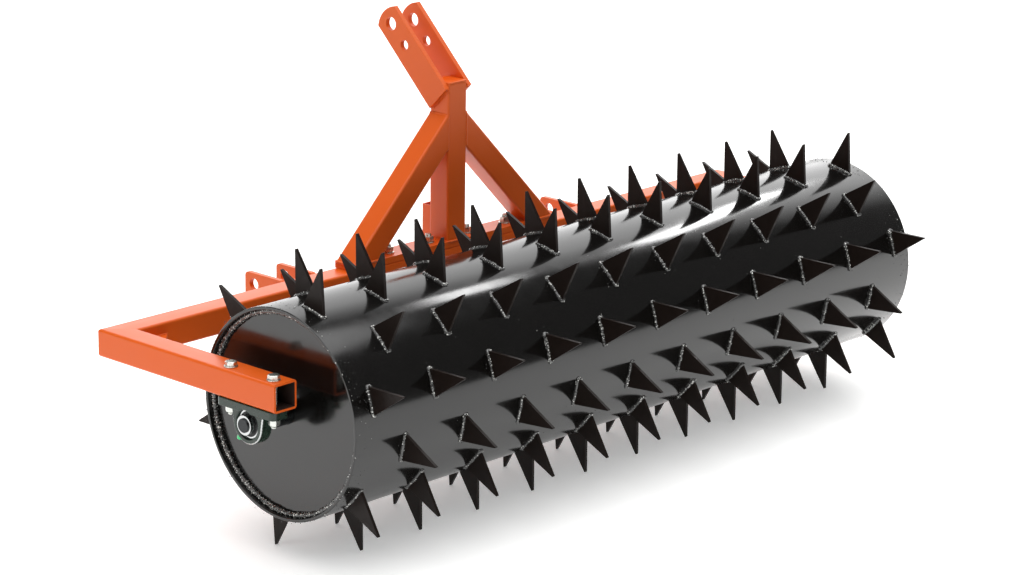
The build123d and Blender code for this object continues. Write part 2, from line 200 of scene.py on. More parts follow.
# ---- Materials ----------------------------------------------------------------------------------

def finish(name, base, rough, metal=0.0, ior=None, mottle=0.0, mottle_size=120, grain=0.0,
           grain_size=4, rough_spread=0.0, rough_size=30, glint_specks=None):
    """A painted or plated surface. Sizes are in millimetres and relief heights in metres.

    Broad mottling varies the colour, a finer pattern varies the gloss and a third one is the relief.
    """
    material = bpy.data.materials.new(name)
    material.use_nodes = True
    tree = material.node_tree
    shader = tree.nodes["Principled BSDF"]
    shader.inputs["Metallic"].default_value = metal
    if ior:
        shader.inputs["IOR"].default_value = ior
    place = put(tree, "ShaderNodeTexCoord").outputs["Object"]

    def pattern(size, detail, seed):
        return put(tree, "ShaderNodeTexNoise", {
            "Vector": place, "W": seed, "Scale": 1 / (size * MM), "Detail": detail,
        }, noise_dimensions="4D").outputs["Fac"]

    broad = pattern(mottle_size, 3, 1.3)
    dim = tuple(part * (1 - mottle) for part in base)
    lit = tuple(min(1, part * (1 + mottle)) for part in base)
    tone_out = put(tree, "ShaderNodeMix", {
        0: broad, 6: (*dim, 1), 7: (*lit, 1)}, data_type="RGBA").outputs[2]
    gloss = put(tree, "ShaderNodeMapRange", {
        "Value": pattern(rough_size, 4, 5.7), "From Min": 0.3, "From Max": 0.7,
        "To Min": max(0.02, rough - rough_spread), "To Max": rough + rough_spread,
    }).outputs["Result"]
    tree.links.new(gloss, shader.inputs["Roughness"])
    # Near-white specks mixed into the colour in random cells: painted glints.
    if glint_specks:
        speck_size, share, glint_tone = glint_specks
        cells = put(tree, "ShaderNodeTexVoronoi", {
            "Vector": place, "Scale": 1 / (speck_size * MM), "Randomness": 1.0,
        })
        chance = put(tree, "ShaderNodeSeparateColor", {"Color": cells.outputs["Color"]}).outputs[0]
        near = put(tree, "ShaderNodeMath", {0: cells.outputs["Distance"], 1: 0.38}, operation="LESS_THAN")
        some = put(tree, "ShaderNodeMath", {0: chance, 1: share}, operation="LESS_THAN")
        spot = put(tree, "ShaderNodeMath", {0: near.outputs[0], 1: some.outputs[0]}, operation="MULTIPLY")
        tone_out = put(tree, "ShaderNodeMix", {
            0: spot.outputs[0], 6: tone_out, 7: (*glint_tone, 1)}, data_type="RGBA").outputs[2]
    tree.links.new(tone_out, shader.inputs["Base Color"])
    if grain:
        relief = put(tree, "ShaderNodeBump", {
            "Height": pattern(grain_size, 2, 9.1), "Distance": grain, "Strength": 1.0,
        })
        tree.links.new(relief.outputs["Normal"], shader.inputs["Normal"])
    return material


def paint_shop(scene):
    """Every material on the machine, by the record's slot."""
    paint = scene.aerator_paint
    return {
        # Powder coat baked on steel: even colour, half gloss and a fine orange peel about 3 mm across.
        "orange_powder_coat": finish(
            "orange_powder_coat", paint.orange, 0.35, ior=1.37, mottle=0.03, mottle_size=260,
            grain=0.000008, grain_size=4, rough_spread=0.02, rough_size=60),
        # Sprayed enamel on rolled plate: near black, wet gloss, with slow waves left by the rolls.
        "black_paint": finish(
            "black_gloss_enamel", paint.black, 0.14, ior=1.62, mottle=0.4, mottle_size=60,
            grain=0.00006, grain_size=45, rough_spread=0.03, rough_size=40),
        # Enamel over weld metal, painted lighter grey with near-white specks about 3 mm apart: painted
        # glints.
        "weld_paint_with_painted_glints": finish(
            "grey_weld_paint_painted_glints", paint.weld, 0.22, ior=1.9, mottle=0.6, mottle_size=3,
            grain=0.0004, grain_size=2, rough_spread=0.1, rough_size=4,
            glint_specks=(3.2, 0.4, linear("#dcdcd6"))),
        # The same enamel on flame-cut plate, where scale under it leaves it duller and browner.
        "spike_enamel": finish(
            "black_enamel_on_cut_plate", paint.spike, 0.38, ior=1.25, mottle=0.3, mottle_size=25,
            grain=0.00006, grain_size=3, rough_spread=0.1, rough_size=12),
        # Dark brown-black for the inside of the arm tubes: painted shade in the tube's hollow.
        "tube_inside_painted_shade": finish(
            "dark_tube_inside_painted_shade", linear("#2a1a14"), 0.6, mottle=0.4, mottle_size=15,
            grain=0.0001, grain_size=2, rough_spread=0.1, rough_size=10),
        # Bright zinc: white metal with a soft patchy haze.
        "zinc_plate": finish(
            "bright_zinc_plate", paint.zinc, 0.3, metal=1, mottle=0.06, mottle_size=6,
            rough_spread=0.08, rough_size=5),
        # Enamel over a sand casting: dull, with grain about 1.5 mm across.
        "cast_housing": finish(
            "enamelled_sand_casting", paint.casting, 0.28, ior=1.55, mottle=0.15, mottle_size=20,
            grain=0.0001, grain_size=2.5, rough_spread=0.08, rough_size=8),
        # Ground and polished bearing steel.
        "bearing_steel": finish(
            "ground_bearing_steel", paint.steel, 0.16, metal=1, mottle=0.04, mottle_size=8,
            rough_spread=0.04, rough_size=3),
        # Pressed sheet steel, oiled.
        "cage_steel": finish(
            "pressed_cage_steel", linear("#8f8f8c"), 0.35, metal=1, mottle=0.08, mottle_size=5,
            rough_spread=0.08, rough_size=3),
        # Moulded nitrile rubber.
        "seal_rubber": finish(
            "moulded_nitrile_rubber", paint.rubber, 0.55, ior=1.52, mottle=0.2, mottle_size=10,
            grain=0.00004, grain_size=1.5, rough_spread=0.08, rough_size=5),
        # Zinc with a green passivation.
        "nipple_plate": finish(
            "green_passivated_zinc", linear("#5fd69a"), 0.3, metal=0.4, mottle=0.1, mottle_size=4,
            rough_spread=0.06, rough_size=3),
        # Moulded polythene cap: clear green, waxy and a little soft in its highlights.
        "nipple_cap": finish(
            "moulded_green_polythene", linear("#25c272"), 0.35, ior=1.51, mottle=0.05, mottle_size=6,
            rough_spread=0.05, rough_size=4),
        # Blackened alloy steel.
        "black_oxide": finish(
            "black_oxide_steel", linear("#1d1d20"), 0.42, metal=1, mottle=0.1, mottle_size=4,
            rough_spread=0.08, rough_size=3),
        # Turned bar, oiled.
        "shaft_steel": finish(
            "turned_shaft_steel", paint.shaft, 0.32, metal=1, mottle=0.1, mottle_size=10,
            rough_spread=0.08, rough_size=4),
    }


def material(slot_name):
    """One of the paint shop's finishes, made once."""
    made = bpy.context.scene.get("aerator_finishes")
    if made is None:
        made = {slot: coat.name for slot, coat in paint_shop(bpy.context.scene).items()}
        bpy.context.scene["aerator_finishes"] = made
    return bpy.data.materials[made[slot_name]]


# ---- Meshes -------------------------------------------------------------------------------------

def new_object(name, mesh):
    """An object at the origin that holds this mesh."""
    piece = bpy.data.objects.new(name, mesh)
    bpy.context.scene.collection.objects.link(piece)
    return piece


def settle(piece):
    """Apply the piece's modifiers, so that it is a plain mesh."""
    bpy.context.view_layer.update()
    graph = bpy.context.evaluated_depsgraph_get()
    mesh = bpy.data.meshes.new_from_object(piece.evaluated_get(graph), depsgraph=graph)
    mesh.name = piece.name
    piece.modifiers.clear()
    piece.data = mesh
    return piece


def merged_copy(node):
    """Mesh like a CAD node's, with its loose triangles joined and its flat faces whole."""
    built = bmesh.new()
    built.from_mesh(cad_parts[node].data)
    bmesh.ops.remove_doubles(built, verts=built.verts, dist=0.01 * MM)
    bmesh.ops.dissolve_limit(
        built, angle_limit=radians(0.3), verts=built.verts, edges=built.edges)
    mesh = bpy.data.meshes.new(node)
    built.to_mesh(mesh)
    built.free()
    for extra in [a.name for a in mesh.attributes if a.name == "custom_normal"]:
        mesh.attributes.remove(mesh.attributes[extra])
    mesh.materials.clear()
    return mesh


def hand_over(piece, body, slot, *replaced, coating=None):
    """Give a finished piece its material and body, and hide the CAD nodes it stands for."""
    piece.data.materials.clear()
    piece.data.materials.append(material(coating or slot))
    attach(piece, body)
    if replaced:
        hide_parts(*replaced)
    return piece


def rounded(node, name, radius, body, slot, coating=None):
    """A CAD node's shape with its sharp edges rounded, standing for that node."""
    piece = new_object(name, merged_copy(node))
    for polygon in piece.data.polygons:
        polygon.use_smooth = True
    edge = piece.modifiers.new("edges", "BEVEL")
    edge.width = radius
    edge.segments = 2
    edge.limit_method = "ANGLE"
    edge.angle_limit = radians(35)
    edge.harden_normals = True
    edge.use_clamp_overlap = True
    settle(piece)
    return hand_over(piece, body, slot, node, coating=coating)


def repaint(node, slot):
    """Give a CAD node its finish."""
    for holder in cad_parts[node].material_slots:
        holder.material = material(slot)


def off_the_lathe(name, built):
    """Turned piece from its faces, smooth all round and sharp at its corners."""
    bmesh.ops.recalc_face_normals(built, faces=built.faces)
    mesh = bpy.data.meshes.new(name)
    built.to_mesh(mesh)
    built.free()
    for polygon in mesh.polygons:
        polygon.use_smooth = True
    mesh.set_sharp_from_angle(angle=radians(40))
    return new_object(name, mesh)


def lathe(name, profile, steps):
    """Closed ring from an (x, radius) outline turned about the axle."""
    built = bmesh.new()
    rings = []
    for step in range(steps):
        angle = 2 * pi * step / steps
        rings.append([built.verts.new(at_angle(x, radius, angle)) for x, radius in profile])
    for step in range(steps):
        here, there = rings[step], rings[(step + 1) % steps]
        for i in range(len(profile)):
            j = (i + 1) % len(profile)
            built.faces.new((here[i], here[j], there[j], there[i]))
    return off_the_lathe(name, built)


def turned(name, base, axis, profile, steps):
    """Solid turned about an axis from a (distance along it, radius) outline that ends on the axis."""
    built = bmesh.new()
    turn = Vector((0, 0, 1)).rotation_difference(axis)
    rings = []
    for along, radius in profile:
        ring = []
        for step in range(steps if radius else 1):
            angle = 2 * pi * step / steps
            place = Vector((radius * cos(angle), radius * sin(angle), along))
            ring.append(built.verts.new(base + turn @ place))
        rings.append(ring)
    for lower, upper in zip(rings, rings[1:]):
        for step in range(steps):
            after = (step + 1) % steps
            if len(lower) == 1:
                built.faces.new((lower[0], upper[after], upper[step]))
            elif len(upper) == 1:
                built.faces.new((lower[step], lower[after], upper[0]))
            else:
                built.faces.new((lower[step], lower[after], upper[after], upper[step]))
    return off_the_lathe(name, built)


def paths_object(name, paths):
    """Mesh of edges along the paths, each a list of points and whether it closes."""
    points, edges = [], []
    for path, closed in paths:
        first = len(points)
        points += [tuple(point) for point in path]
        edges += [(first + i, first + i + 1) for i in range(len(path) - 1)]
        if closed:
            edges.append((first + len(path) - 1, first))
    mesh = bpy.data.meshes.new(name)
    mesh.from_pydata(points, edges, [])
    return new_object(name, mesh)


# ---- Geometry Nodes -----------------------------------------------------------------------------

def new_tree(name, sockets):
    """Geometry tree with a geometry input and output and the named inputs given."""
    tree = bpy.data.node_groups.new(name, "GeometryNodeTree")
    tree.interface.new_socket("Geometry", in_out="INPUT", socket_type="NodeSocketGeometry")
    for label, kind in sockets:
        tree.interface.new_socket(label, in_out="INPUT", socket_type=f"NodeSocket{kind}")
    tree.interface.new_socket("Geometry", in_out="OUTPUT", socket_type="NodeSocketGeometry")
    return tree, put(tree, "NodeGroupInput").outputs


def end_tree(tree, geometry, coating):
    """Finish a tree with real geometry in one material."""
    real = put(tree, "GeometryNodeRealizeInstances", {"Geometry": geometry})
    coated = put(tree, "GeometryNodeSetMaterial", {"Geometry": real, "Material": coating})
    put(tree, "NodeGroupOutput", {"Geometry": coated})
    return tree


def weld_bead_tree():
    """Bead along every path: overlapping ripples, a little uneven, as a hand weld is."""
    tree, given = new_tree("Weld bead", [
        ("Width", "Float"), ("Ripple", "Float"), ("Unevenness", "Float"),
        ("Seed", "Float"), ("Coating", "Material")])
    line = put(tree, "GeometryNodeMeshToCurve", {"Mesh": given["Geometry"]})
    step = put(tree, "ShaderNodeMath", {0: given["Ripple"], 1: 3.0}, operation="DIVIDE")
    even = put(tree, "GeometryNodeResampleCurve", {"Curve": line, "Length": step}, mode="LENGTH")
    # Each ripple swells from 0.82 to 1.1 of the bead's width, then drops back.
    along = put(tree, "GeometryNodeSplineParameter").outputs["Length"]
    ripples = put(tree, "ShaderNodeMath", {0: along, 1: given["Ripple"]}, operation="DIVIDE")
    phase = put(tree, "ShaderNodeMath", {0: ripples}, operation="FRACT")
    crest = put(tree, "ShaderNodeMath", {0: phase, 1: 0.28}, operation="MULTIPLY")
    swell = put(tree, "ShaderNodeMath", {0: crest, 1: 0.82}, operation="ADD")
    # The hand wanders over about 9 mm.
    place = put(tree, "GeometryNodeInputPosition")
    drift = put(tree, "ShaderNodeTexNoise", {
        "Vector": place, "W": given["Seed"], "Scale": 1 / (9 * MM), "Detail": 1.0,
    }, noise_dimensions="4D").outputs["Fac"]
    centred = put(tree, "ShaderNodeMath", {0: drift, 1: 0.5}, operation="SUBTRACT")
    wander = put(tree, "ShaderNodeMath", {0: centred, 1: given["Unevenness"]}, operation="MULTIPLY")
    share = put(tree, "ShaderNodeMath", {0: swell, 1: wander}, operation="ADD")
    half = put(tree, "ShaderNodeMath", {0: given["Width"], 1: 0.5}, operation="MULTIPLY")
    radius = put(tree, "ShaderNodeMath", {0: half, 1: share}, operation="MULTIPLY")
    ring = put(tree, "GeometryNodeCurvePrimitiveCircle", {"Resolution": 7, "Radius": 1.0})
    bead = put(tree, "GeometryNodeCurveToMesh", {
        "Curve": even, "Profile Curve": ring, "Scale": radius, "Fill Caps": True})
    smooth = put(tree, "GeometryNodeSetShadeSmooth", {"Geometry": bead})
    return end_tree(tree, smooth, given["Coating"])


def spatter_tree():
    """Small drops of weld metal scattered beside every path and stuck to the drum."""
    tree, given = new_tree("Weld spatter", [
        ("Drop", "Float"), ("Spacing", "Float"), ("Reach", "Float"), ("Drum Radius", "Float"),
        ("Axle", "Vector"), ("Seed", "Int"), ("Coating", "Material")])
    line = put(tree, "GeometryNodeMeshToCurve", {"Mesh": given["Geometry"]})
    dots = put(tree, "GeometryNodeCurveToPoints", {"Curve": line, "Length": given["Spacing"]}, mode="LENGTH")
    throw = put(tree, "FunctionNodeRandomValue", {
        0: (-1.0, -1.0, -1.0), 1: (1.0, 1.0, 1.0), "Seed": given["Seed"]}, data_type="FLOAT_VECTOR")
    reach = put(tree, "ShaderNodeVectorMath", {0: throw, "Scale": given["Reach"]}, operation="SCALE")
    moved = put(tree, "GeometryNodeSetPosition", {"Geometry": dots.outputs["Points"], "Offset": reach})
    place = put(tree, "GeometryNodeInputPosition")
    from_axle = put(tree, "ShaderNodeVectorMath", {0: place, 1: given["Axle"]}, operation="SUBTRACT")
    split = put(tree, "ShaderNodeSeparateXYZ", {0: from_axle})
    flat = put(tree, "ShaderNodeCombineXYZ", {1: split.outputs[1], 2: split.outputs[2]})
    outward = put(tree, "ShaderNodeVectorMath", {0: flat}, operation="NORMALIZE")
    on_shell = put(tree, "ShaderNodeVectorMath", {
        0: outward, "Scale": given["Drum Radius"]}, operation="SCALE")
    along = put(tree, "ShaderNodeCombineXYZ", {0: split})
    landed = put(tree, "ShaderNodeVectorMath", {0: on_shell, 1: along}, operation="ADD")
    back = put(tree, "ShaderNodeVectorMath", {0: landed, 1: given["Axle"]}, operation="ADD")
    stuck = put(tree, "GeometryNodeSetPosition", {"Geometry": moved, "Position": back})
    drop = put(tree, "GeometryNodeMeshIcoSphere", {"Radius": 0.5, "Subdivisions": 1})
    size = put(tree, "FunctionNodeRandomValue", {
        2: 0.25, 3: 1.0, "Seed": given["Seed"]}, data_type="FLOAT").outputs[1]
    scale = put(tree, "ShaderNodeMath", {0: size, 1: given["Drop"]}, operation="MULTIPLY")
    drops = put(tree, "GeometryNodeInstanceOnPoints", {"Points": stuck, "Instance": drop, "Scale": scale})
    smooth = put(tree, "GeometryNodeSetShadeSmooth", {"Geometry": drops})
    return end_tree(tree, smooth, given["Coating"])


def hexagon(tree, flats, height, both_ends):
    """Hexagonal block on z = 0 with its corners turned off at the top, and at the bottom too."""
    corner = put(tree, "ShaderNodeMath", {0: flats, 1: 1 / sqrt(3)}, operation="MULTIPLY")
    prism = put(tree, "GeometryNodeMeshCylinder", {"Vertices": 6, "Radius": corner, "Depth": height})
    middle = put(tree, "ShaderNodeMath", {0: height, 1: 0.5}, operation="MULTIPLY")
    lift = put(tree, "ShaderNodeCombineXYZ", {2: middle})
    block = put(tree, "GeometryNodeTransform", {"Geometry": prism, "Translation": lift})
    # A 30 degree cone that stands past both faces, so that no two faces of the cut lie together.
    slope = sqrt(3)
    crown = put(tree, "ShaderNodeMath", {0: flats, 1: 0.47}, operation="MULTIPLY")
    past = put(tree, "ShaderNodeMath", {0: height, 1: 0.1}, operation="MULTIPLY")
    tall = put(tree, "ShaderNodeMath", {0: height, 1: 1.2}, operation="MULTIPLY")
    tip = put(tree, "ShaderNodeMath", {0: past, 1: slope}, operation="MULTIPLY")
    narrow = put(tree, "ShaderNodeMath", {0: crown, 1: tip}, operation="SUBTRACT")
    spread = put(tree, "ShaderNodeMath", {0: tall, 1: slope}, operation="MULTIPLY")
    wide = put(tree, "ShaderNodeMath", {0: narrow, 1: spread}, operation="ADD")
    cone = put(tree, "GeometryNodeMeshCone", {
        "Vertices": 48, "Radius Top": narrow, "Radius Bottom": wide, "Depth": tall})
    below = put(tree, "ShaderNodeMath", {0: past, 1: -1.0}, operation="MULTIPLY")
    above = put(tree, "ShaderNodeMath", {0: height, 1: past}, operation="ADD")
    for level, turn in [(below, 0.0), (above, pi)][:2 if both_ends else 1]:
        drop = put(tree, "ShaderNodeCombineXYZ", {2: level})
        cutter = put(tree, "GeometryNodeTransform", {
            "Geometry": cone, "Translation": drop, "Rotation": Euler((turn, 0, 0))})
        cut = put(tree, "GeometryNodeMeshBoolean", {"Mesh 2": block},
                  operation="INTERSECT", solver="EXACT")
        tree.links.new(cutter.outputs[0], cut.inputs["Mesh 2"])
        block = cut
    return block


def stand_on_points(tree, given, geometry, coating):
    """Put a fastener on every point, tipped as asked and turned at random, as a spanner leaves it."""
    tip = put(tree, "ShaderNodeCombineXYZ", {0: given["Tip"]})
    tipped = put(tree, "GeometryNodeTransform", {"Geometry": geometry, "Rotation": tip})
    turn = put(tree, "FunctionNodeRandomValue", {
        2: 0.0, 3: 2 * pi, "Seed": given["Seed"]}, data_type="FLOAT").outputs[1]
    spin = put(tree, "ShaderNodeCombineXYZ", {2: turn})
    placed = put(tree, "GeometryNodeInstanceOnPoints", {
        "Points": given["Geometry"], "Instance": tipped, "Rotation": spin})
    return end_tree(tree, placed, coating)


def hex_bolt_tree():
    """Bolt whose head stands on the point, with a real thread at the far end of its shank."""
    tree, given = new_tree("Hex bolt", [
        ("Flats", "Float"), ("Head", "Float"), ("Shank", "Float"), ("Length", "Float"),
        ("Pitch", "Float"), ("Threaded", "Float"), ("Tip", "Float"), ("Seed", "Int"),
        ("Coating", "Material")])
    head = hexagon(tree, given["Flats"], given["Head"], both_ends=False)
    deep = put(tree, "ShaderNodeMath", {0: given["Pitch"], 1: 0.61}, operation="MULTIPLY")
    major = put(tree, "ShaderNodeMath", {0: given["Shank"], 1: 0.5}, operation="MULTIPLY")
    root = put(tree, "ShaderNodeMath", {0: major, 1: deep}, operation="SUBTRACT")
    plain = put(tree, "ShaderNodeMath", {
        0: given["Length"], 1: given["Threaded"]}, operation="SUBTRACT")
    # A core of root diameter runs the whole length, inside the plain part of the shank.
    rods = []
    for radius, depth in ((root, given["Length"]), (major, plain)):
        rod = put(tree, "GeometryNodeMeshCylinder", {"Vertices": 32, "Radius": radius, "Depth": depth})
        half = put(tree, "ShaderNodeMath", {0: depth, 1: -0.5}, operation="MULTIPLY")
        down = put(tree, "ShaderNodeCombineXYZ", {2: half})
        rods.append(put(tree, "GeometryNodeTransform", {"Geometry": rod, "Translation": down}))
    run = put(tree, "ShaderNodeMath", {0: given["Threaded"], 1: given["Pitch"]}, operation="SUBTRACT")
    turns = put(tree, "ShaderNodeMath", {0: run, 1: given["Pitch"]}, operation="DIVIDE")
    helix = put(tree, "GeometryNodeCurveSpiral", {
        "Resolution": 24, "Rotations": turns, "Start Radius": root, "End Radius": root, "Height": run})
    inset = put(tree, "ShaderNodeMath", {0: deep, 1: 0.8}, operation="MULTIPLY")
    end = put(tree, "ShaderNodeMath", {0: inset, 1: given["Length"]}, operation="SUBTRACT")
    low = put(tree, "ShaderNodeCombineXYZ", {2: end})
    helix_at = put(tree, "GeometryNodeTransform", {"Geometry": helix, "Translation": low})
    ridge = put(tree, "GeometryNodeCurvePrimitiveCircle", {"Resolution": 4, "Radius": deep})
    thread = put(tree, "GeometryNodeCurveToMesh", {
        "Curve": helix_at, "Profile Curve": ridge, "Fill Caps": True})
    whole = put(tree, "GeometryNodeJoinGeometry")
    for part in (head, *rods, thread):
        tree.links.new(part.outputs[0], whole.inputs[0])
    return stand_on_points(tree, given, whole, given["Coating"])


def hex_nut_tree():
    """Nut on the point, bevelled at both ends and bored to clear the bolt."""
    tree, given = new_tree("Hex nut", [
        ("Flats", "Float"), ("Height", "Float"), ("Bore", "Float"), ("Tip", "Float"),
        ("Seed", "Int"), ("Coating", "Material")])
    block = hexagon(tree, given["Flats"], given["Height"], both_ends=True)
    radius = put(tree, "ShaderNodeMath", {0: given["Bore"], 1: 0.5}, operation="MULTIPLY")
    through = put(tree, "ShaderNodeMath", {0: given["Height"], 1: 3.0}, operation="MULTIPLY")
    drill = put(tree, "GeometryNodeMeshCylinder", {"Vertices": 32, "Radius": radius, "Depth": through})
    bored = put(tree, "GeometryNodeMeshBoolean", {
        "Mesh 1": block, "Mesh 2": drill}, operation="DIFFERENCE", solver="EXACT")
    return stand_on_points(tree, given, bored, given["Coating"])


def washer_tree():
    """Flat washer on the point, its edges rolled by the punch."""
    tree, given = new_tree("Flat washer", [
        ("Outside", "Float"), ("Hole", "Float"), ("Thickness", "Float"), ("Tip", "Float"),
        ("Seed", "Int"), ("Coating", "Material")])
    both = put(tree, "ShaderNodeMath", {0: given["Outside"], 1: given["Hole"]}, operation="ADD")
    middle = put(tree, "ShaderNodeMath", {0: both, 1: 0.25}, operation="MULTIPLY")
    across = put(tree, "ShaderNodeMath", {0: given["Outside"], 1: given["Hole"]}, operation="SUBTRACT")
    band = put(tree, "ShaderNodeMath", {0: across, 1: 0.5}, operation="MULTIPLY")
    section = put(tree, "GeometryNodeCurvePrimitiveQuadrilateral", {
        "Width": band, "Height": given["Thickness"]})
    roll = put(tree, "ShaderNodeMath", {0: given["Thickness"], 1: 0.18}, operation="MULTIPLY")
    soft = put(tree, "GeometryNodeFilletCurve", {
        "Curve": section, "Count": 3, "Radius": roll}, mode="POLY")
    circle = put(tree, "GeometryNodeCurvePrimitiveCircle", {"Resolution": 48, "Radius": middle})
    ring = put(tree, "GeometryNodeCurveToMesh", {"Curve": circle, "Profile Curve": soft})
    half = put(tree, "ShaderNodeMath", {0: given["Thickness"], 1: 0.5}, operation="MULTIPLY")
    lift = put(tree, "ShaderNodeCombineXYZ", {2: half})
    seated = put(tree, "GeometryNodeTransform", {"Geometry": ring, "Translation": lift})
    return stand_on_points(tree, given, seated, given["Coating"])


def grow(piece, tree, values):
    """Run a tree on the piece with its named inputs set, and keep the plain mesh it makes."""
    maker = piece.modifiers.new(tree.name, "NODES")
    maker.node_group = tree
    for item in tree.interface.items_tree:
        if item.in_out == "INPUT" and item.name in values:
            maker[item.identifier] = values[item.name]
    return settle(piece)


# ---- Drum ---------------------------------------------------------------------------------------

class AERATOR_OT_drum_shell(bpy.types.Operator):
    """Rolled shell of the drum with its rims rounded, and the four discs inside it"""

    bl_idname = "aerator.drum_shell"
    bl_label = "Drum shell and discs"

    def execute(self, context):
        steel = context.scene.aerator_steel
        inside = min(hypot(p.y - axle.y, p.z - axle.z) for p in node_points("drum_shell"))
        round_off = steel.rim_edge
        quarter = [radians(step * 22.5) for step in range(5)]
        arcs = []
        for side in (-1, 1):
            for radius, out in ((inside, -1), (drum_radius, 1)):
                x, level = side * (drum_half - round_off), radius - out * round_off
                arcs.append([(x + side * round_off * sin(a), level + out * round_off * cos(a))
                             for a in quarter])
        left_in, left_out, right_in, right_out = arcs
        profile = left_in + left_out[::-1] + right_out + right_in[::-1]
        shell = lathe("drum_shell_plate", profile, 240)
        hand_over(shell, "drum", "black_paint", "drum_shell")
        for side in SIDES:
            rounded(f"{side}_end_disc", f"{side}_end_disc_plate", steel.plate_edge, "drum", "black_paint")
            repaint(f"{side}_inner_disc", "black_paint")
        return {"FINISHED"}


class AERATOR_OT_spikes(bpy.types.Operator):
    """Cut plate spikes, one piece for each row, with their edges rounded"""

    bl_idname = "aerator.spikes"
    bl_label = "Spikes"

    def execute(self, context):
        for row in spike_rows:
            rounded(row, f"{row}_plates", context.scene.aerator_steel.spike_edge, "drum",
                    "black_paint", "spike_enamel")
        return {"FINISHED"}


def spike_root_paths():
    """Closed path round the root of every spike, on the drum's surface."""
    paths = []
    for row in spike_rows:
        angle, plates = spike_stations(row)
        points = node_points(row)
        across = (-sin(angle), cos(angle))
        reach = max(abs((p.y - axle.y) * across[0] + (p.z - axle.z) * across[1]) for p in points)
        half = reach / drum_radius
        for low, high in plates:
            swing = [angle + half * (step / 4 - 1) for step in range(9)]
            path = [at_angle(low, drum_radius, a) for a in swing]
            path += [at_angle(high, drum_radius, a) for a in reversed(swing)]
            paths.append((path, True))
    return paths


class AERATOR_OT_drum_welds(bpy.types.Operator):
    """Beads round the spikes' roots and inside the rims, with the spatter beside them"""

    bl_idname = "aerator.drum_welds"
    bl_label = "Drum welds"

    def execute(self, context):
        steel = context.scene.aerator_steel
        # The beads' finish carries painted glints: a lighter grey and near-white specks.
        coating = material("weld_paint_with_painted_glints")
        tree = weld_bead_tree()
        roots = spike_root_paths()
        beads = paths_object("spike_weld_beads", roots)
        grow(beads, tree, {"Width": steel.spike_bead, "Ripple": steel.ripple, "Unevenness": 1.3,
                           "Seed": 2.0, "Coating": coating})
        hand_over(beads, "drum", "black_paint", coating="weld_paint_with_painted_glints")
        rims = []
        inside = min(hypot(p.y - axle.y, p.z - axle.z) for p in node_points("drum_shell"))
        for side, sign in SIDES.items():
            low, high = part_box(f"{side}_end_disc")
            face = high.x if sign > 0 else low.x
            seat = 0.35 * steel.drum_bead
            ring = [at_angle(face + sign * seat, inside - seat, radians(step * 5)) for step in range(72)]
            rims.append((ring, True))
        rim_beads = paths_object("drum_rim_weld_beads", rims)
        grow(rim_beads, tree, {"Width": steel.drum_bead, "Ripple": steel.ripple * 1.4,
                               "Unevenness": 1.2, "Seed": 4.0, "Coating": coating})
        hand_over(rim_beads, "drum", "black_paint", coating="weld_paint_with_painted_glints")
        edges = [([at_angle(sign * (drum_half - 14 * MM), drum_radius, radians(step * 5))
                   for step in range(72)], True) for sign in SIDES.values()]
        drops = paths_object("weld_spatter", roots + edges * 5)
        grow(drops, spatter_tree(), {
            "Drop": steel.spatter, "Spacing": 13 * MM, "Reach": 22 * MM, "Drum Radius": drum_radius,
            "Axle": tuple(axle), "Seed": 7, "Coating": coating})
        hand_over(drops, "drum", "black_paint", coating="weld_paint_with_painted_glints")
        return {"FINISHED"}


# ---- Frame --------------------------------------------------------------------------------------

FRAME_STEEL = ["crossbar", "headstock_base_plate", "mast", "mast_cap", "stand_socket"] + [
    f"{side}_{part}" for side in SIDES for part in (
        "arm", "corner_gusset", "outer_hitch_ear", "inner_hitch_ear", "brace", "top_link_strap")]


def darken_tube_inside_as_shade(piece, node):
    """Give the inside of a tube that lies along Y a near-black finish: painted shade in its hollow."""
    low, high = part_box(node)
    skin = 2.5 * MM
    piece.data.materials.append(material("tube_inside_painted_shade"))
    for face in piece.data.polygons:
        x, z = face.center.x, face.center.z
        inside = low.x + skin < x < high.x - skin and low.z + skin < z < high.z - skin
        if inside and abs(face.normal.y) < 0.5:
            face.material_index = 1


class AERATOR_OT_frame_steel(bpy.types.Operator):
    """Tubes and cut plates of the frame, with their edges rounded"""

    bl_idname = "aerator.frame_steel"
    bl_label = "Frame steel"

    def execute(self, context):
        for node in FRAME_STEEL:
            piece = rounded(node, f"{node}_steel", context.scene.aerator_steel.plate_edge, "frame",
                            "orange_powder_coat")
            if node.endswith("_arm"):
                # Painted shade: the inside of each arm tube is made dark.
                darken_tube_inside_as_shade(piece, node)
        return {"FINISHED"}


def loop_round(low, high, corner, z):
    """Closed path round a tube standing on a level face."""
    path = []
    for x, y, start in ((high.x, high.y, 0), (low.x, high.y, 90), (low.x, low.y, 180), (high.x, low.y, 270)):
        middle = (x - corner if x == high.x else x + corner, y - corner if y == high.y else y + corner)
        for step in range(4):
            angle = radians(start + 30 * step)
            path.append(Vector((middle[0] + corner * cos(angle), middle[1] + corner * sin(angle), z)))
    return path, True


